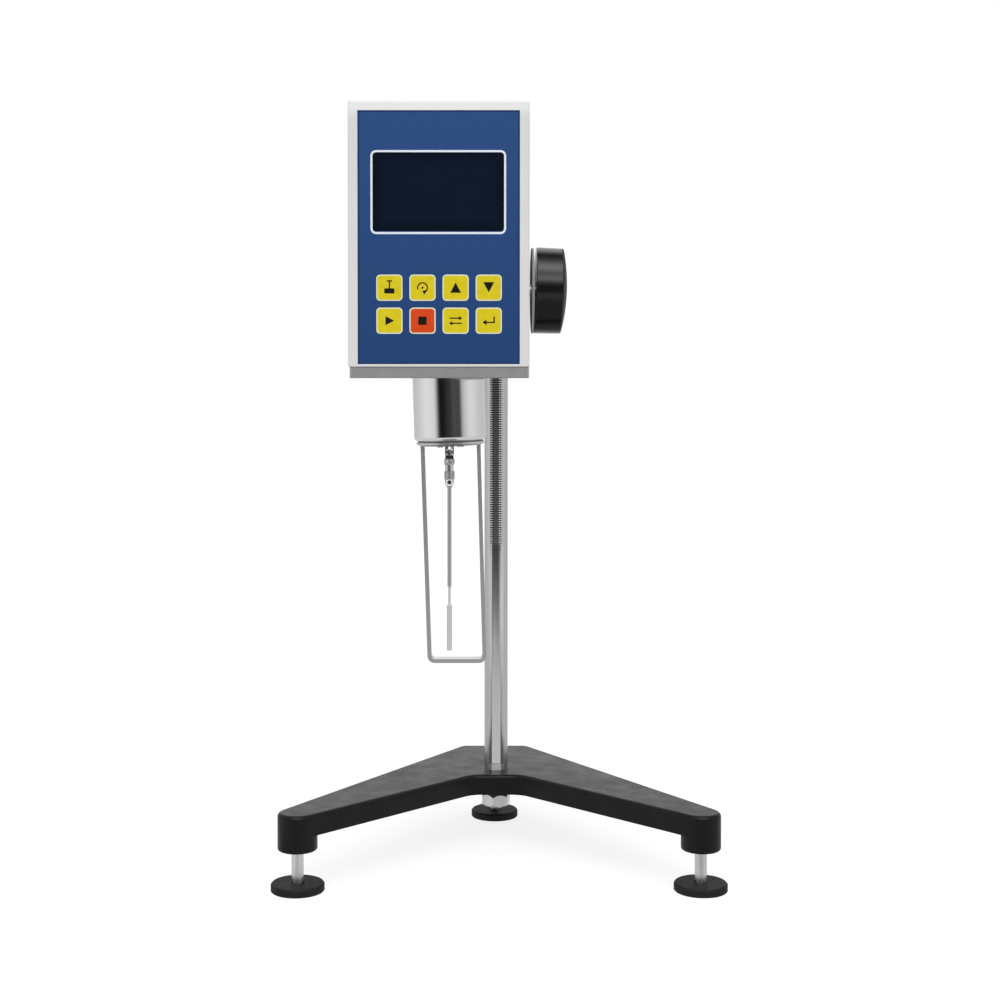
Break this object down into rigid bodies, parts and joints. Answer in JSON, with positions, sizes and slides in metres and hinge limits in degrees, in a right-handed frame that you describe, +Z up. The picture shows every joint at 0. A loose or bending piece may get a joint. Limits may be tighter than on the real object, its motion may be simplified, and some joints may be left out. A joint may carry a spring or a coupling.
{
  "type": "rotational viscometer",
  "caption": "Bench viscometer: measuring head with keypad, display and guarded hanging rotor, raised by a rack and knob on a V-shaped levelling stand.",
  "frame": {"origin": "bottom centre of the whole instrument's bounding box, on the bench under the foot pads", "axes": "+Z up the column, -Y the way the keypad faces, +X to the operator's right, where the lift knob is"},
  "size_m": [0.2833, 0.2256, 0.4826],
  "materials": {
    "cast_black": "cast iron with black baked enamel, semi-gloss on the sides and a slightly pitted top",
    "column_steel": "ground and polished steel",
    "zinc": "bright zinc plate",
    "pad_black": "matte black rubber",
    "block_black": "black powder coat on cast aluminium",
    "brass": "machined",
    "nylon": "natural nylon",
    "screw_steel": "nickel plated screws",
    "knob_black": "glossy moulded phenolic",
    "shaft_steel": "ground steel",
    "flange_grey": "dark grey fibre disc",
    "chrome": "bright polished",
    "housing_white": "fine satin white powder coat",
    "panel_blue": "printed film with a fine texture",
    "display_dark": "smoked clear acrylic",
    "lcd_grey": "metal framed display module",
    "pcb_green": "solder resist with parts",
    "psu_parts": "transformer and board",
    "inlet_black": "moulded",
    "rocker_black": "moulded rocker",
    "plate_grey": "grained grey anodised aluminium",
    "pillar_alu": "machined",
    "motor_black": "stepper motor",
    "disc_alu": "etched disc",
    "spring_bronze": "beryllium copper",
    "guard_steel": "satin stainless",
    "coupling_steel": "turned stainless, one blackened band",
    "rotor_steel": "ground stainless",
    "vial_glass": "tinted liquid and bubble under glass",
    "key_yellow": "embossed printed key",
    "key_red": "embossed printed key"
  },
  "bodies": {
    "stand": {"base_casting": "cast_black", "column": "column_steel", "column_washer": "block_black", "column_nut": "zinc"},
    "foot_left": {"foot_pad_left": "pad_black"},
    "foot_right": {"foot_pad_right": "pad_black"},
    "foot_rear": {"foot_pad_rear": "pad_black"},
    "stud_left": {"foot_stud_left": "zinc"},
    "stud_right": {"foot_stud_right": "zinc"},
    "stud_rear": {"foot_stud_rear": "zinc"},
    "carriage": {"lift_block": "block_black", "pinion_bushes": "brass", "brake_pad": "nylon", "brake_screw": "screw_steel"},
    "knob": {"pinion_shaft": "shaft_steel", "lift_knob": "knob_black", "knob_flange": "flange_grey", "knob_set_screw": "screw_steel"},
    "rod_lock": {"rod_lock_screw": "knob_black"},
    "head": {"support_rod": "chrome", "head_screws": "screw_steel", "head_cover": "housing_white", "front_panel": "panel_blue", "display_window": "display_dark", "lcd_module": "lcd_grey", "keypad_board": "pcb_green", "main_board": "pcb_green", "power_supply": "psu_parts", "mains_inlet": "inlet_black", "switch_body": "inlet_black", "foot_plate": "plate_grey", "pillars": "pillar_alu", "motor_plate": "pillar_alu", "motor": "motor_black", "shaft_bearing": "shaft_steel", "disc_sensors": "inlet_black", "cup": "chrome", "guard_ring": "guard_steel", "ring_screws": "screw_steel", "guard_frame": "guard_steel", "level_case": "brass", "level_vial": "vial_glass"},
    "rocker": {"switch_rocker": "rocker_black"},
    "drive": {"drive_shaft": "shaft_steel", "drive_disc": "disc_alu", "hairspring": "spring_bronze"},
    "measuring": {"measuring_shaft": "shaft_steel", "measuring_disc": "disc_alu", "coupling_fork": "coupling_steel"},
    "link": {"coupling_link": "coupling_steel"},
    "rotor": {"coupling_nut": "coupling_steel", "rotor": "rotor_steel"},
    "key_rotor": {"key_rotor": "key_yellow"},
    "key_speed": {"key_speed": "key_yellow"},
    "key_up": {"key_up": "key_yellow"},
    "key_down": {"key_down": "key_yellow"},
    "key_run": {"key_run": "key_yellow"},
    "key_stop": {"key_stop": "key_red"},
    "key_scan": {"key_scan": "key_yellow"},
    "key_enter": {"key_enter": "key_yellow"}
  },
  "joints": [
    {"name": "lift", "type": "slide", "parent": "stand", "child": "carriage", "axis": [0, 0, 1], "range_m": [-0.125, 0.055]},
    {"name": "knob_turn", "type": "hinge", "parent": "carriage", "child": "knob", "pos_m": [0, 0.02523, 0.3766], "axis": [1, 0, 0], "range_deg": [-540, 1200]},
    {"name": "rod_lock_turn", "type": "hinge", "parent": "carriage", "child": "rod_lock", "pos_m": [-0.06, 0.03417, 0.388], "axis": [1, 0, 0], "range_deg": [0, 540]},
    {"name": "head_tilt", "type": "hinge", "parent": "carriage", "child": "head", "pos_m": [-0.0367, 0.03318, 0.388], "axis": [0, 1, 0], "range_deg": [-5, 5]},
    {"name": "drive_spin", "type": "hinge", "parent": "head", "child": "drive", "pos_m": [-0.031, -0.05783, 0.41], "axis": [0, 0, 1], "continuous": true},
    {"name": "torsion", "type": "hinge", "parent": "drive", "child": "measuring", "pos_m": [-0.031, -0.05783, 0.385], "axis": [0, 0, 1], "range_deg": [-80, 80], "stiffness_Nm_per_rad": 0.0006},
    {"name": "coupling_swing", "type": "hinge", "parent": "measuring", "child": "link", "pos_m": [-0.031, -0.05783, 0.2712], "axis": [1, 0, 0], "range_deg": [-4, 4]},
    {"name": "rotor_swing", "type": "hinge", "parent": "link", "child": "rotor", "pos_m": [-0.031, -0.05783, 0.2613], "axis": [0, 1, 0], "range_deg": [-4, 4]},
    {"name": "power_switch", "type": "hinge", "parent": "head", "child": "rocker", "pos_m": [-0.006, -0.00302, 0.346], "axis": [1, 0, 0], "range_deg": [-16, 0]},
    {"name": "key_rotor_press", "type": "slide", "parent": "head", "child": "key_rotor", "axis": [0, 1, 0], "range_m": [0, 0.0004], "stiffness_N_per_m": 1500},
    {"name": "key_speed_press", "type": "slide", "parent": "head", "child": "key_speed", "axis": [0, 1, 0], "range_m": [0, 0.0004], "stiffness_N_per_m": 1500},
    {"name": "key_up_press", "type": "slide", "parent": "head", "child": "key_up", "axis": [0, 1, 0], "range_m": [0, 0.0004], "stiffness_N_per_m": 1500},
    {"name": "key_down_press", "type": "slide", "parent": "head", "child": "key_down", "axis": [0, 1, 0], "range_m": [0, 0.0004], "stiffness_N_per_m": 1500},
    {"name": "key_run_press", "type": "slide", "parent": "head", "child": "key_run", "axis": [0, 1, 0], "range_m": [0, 0.0004], "stiffness_N_per_m": 1500},
    {"name": "key_stop_press", "type": "slide", "parent": "head", "child": "key_stop", "axis": [0, 1, 0], "range_m": [0, 0.0004], "stiffness_N_per_m": 1500},
    {"name": "key_scan_press", "type": "slide", "parent": "head", "child": "key_scan", "axis": [0, 1, 0], "range_m": [0, 0.0004], "stiffness_N_per_m": 1500},
    {"name": "key_enter_press", "type": "slide", "parent": "head", "child": "key_enter", "axis": [0, 1, 0], "range_m": [0, 0.0004], "stiffness_N_per_m": 1500},
    {"name": "foot_left_adjust", "type": "slide", "parent": "stand", "child": "foot_left", "axis": [0, 0, 1], "range_m": [-0.004, 0.01]},
    {"name": "foot_left_screw", "type": "hinge", "parent": "foot_left", "child": "stud_left", "pos_m": [-0.125, -0.07583, 0.01], "axis": [0, 0, 1], "range_deg": [-1160, 2890]},
    {"name": "foot_right_adjust", "type": "slide", "parent": "stand", "child": "foot_right", "axis": [0, 0, 1], "range_m": [-0.004, 0.01]},
    {"name": "foot_right_screw", "type": "hinge", "parent": "foot_right", "child": "stud_right", "pos_m": [0.125, -0.07583, 0.01], "axis": [0, 0, 1], "range_deg": [-1160, 2890]},
    {"name": "foot_rear_adjust", "type": "slide", "parent": "stand", "child": "foot_rear", "axis": [0, 0, 1], "range_m": [-0.004, 0.01]},
    {"name": "foot_rear_screw", "type": "hinge", "parent": "foot_rear", "child": "stud_rear", "pos_m": [0, 0.09617, 0.01], "axis": [0, 0, 1], "range_deg": [-1160, 2890]}
  ],
  "couplings": [
    {"joint": "knob_turn", "follows": "lift", "rad_per_m": -166.67},
    {"joint": "foot_left_screw", "follows": "foot_left_adjust", "rad_per_m": 5026.5},
    {"joint": "foot_right_screw", "follows": "foot_right_adjust", "rad_per_m": 5026.5},
    {"joint": "foot_rear_screw", "follows": "foot_rear_adjust", "rad_per_m": 5026.5}
  ]
}
